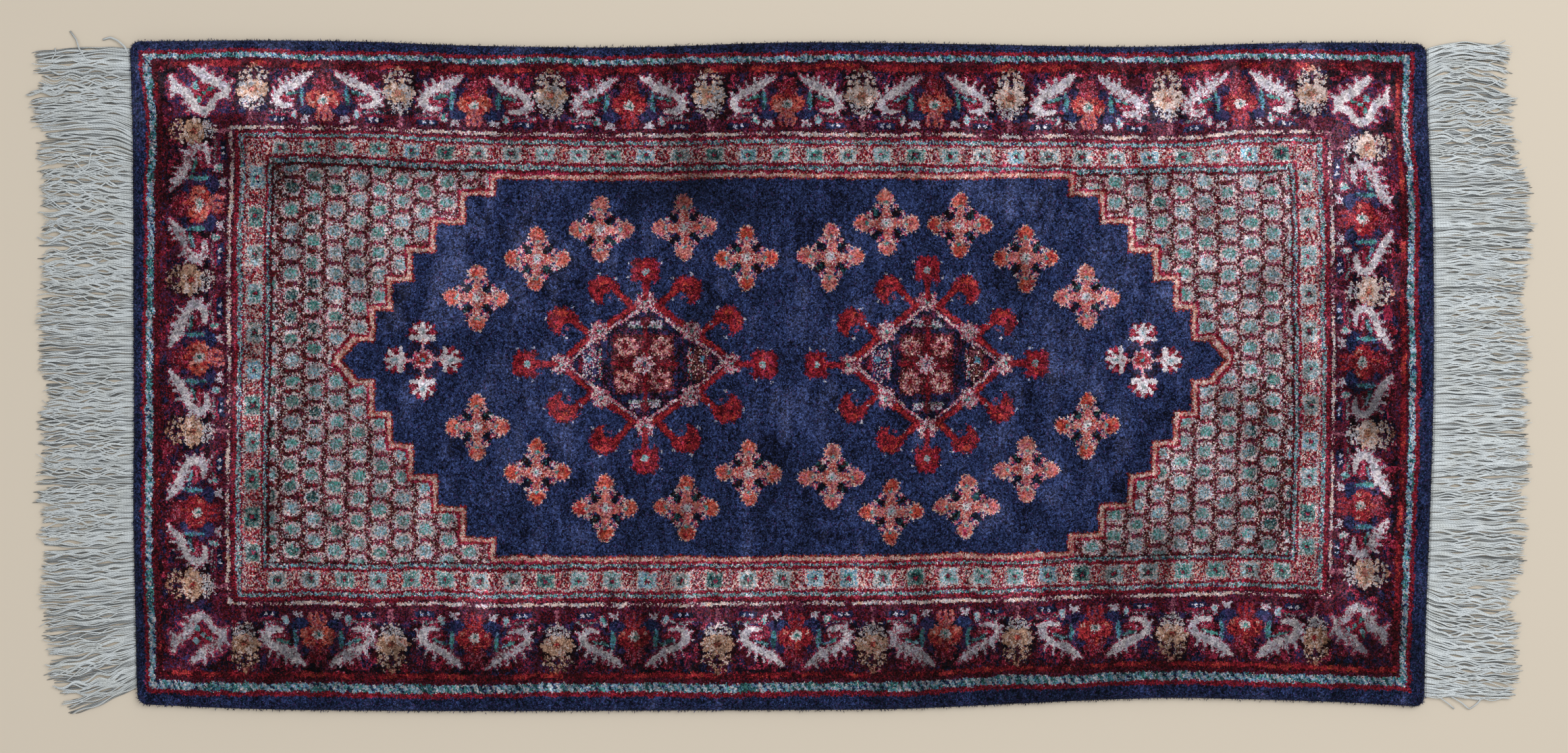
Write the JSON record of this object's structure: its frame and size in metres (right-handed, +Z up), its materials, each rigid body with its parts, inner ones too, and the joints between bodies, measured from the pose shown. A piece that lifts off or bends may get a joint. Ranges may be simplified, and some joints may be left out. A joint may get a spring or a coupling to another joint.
{
  "type": "fringed silk rug",
  "caption": "Small flat knotted silk rug with a soft pile, a traditional bordered oriental design and a long loose warp fringe at both short ends.",
  "frame": {"origin": "centre of the pile's underside, on the surface that the rug lies on", "axes": "+X along the rug towards its right-hand fringe, +Y across it towards its far long side, +Z up out of the pile"},
  "size_m": [1.4104, 0.6328, 0.008],
  "materials": {
    "silk_pile": "plush silky pile in navy, madder red, ivory, teal, salmon and tan with a strong nap",
    "warp_fringe": "loose off-white spun warp ends, matt with a slight sheen"
  },
  "bodies": {
    "root": {"pile": "silk_pile", "fringe_left": "warp_fringe", "fringe_right": "warp_fringe"}
  },
  "joints": []
}
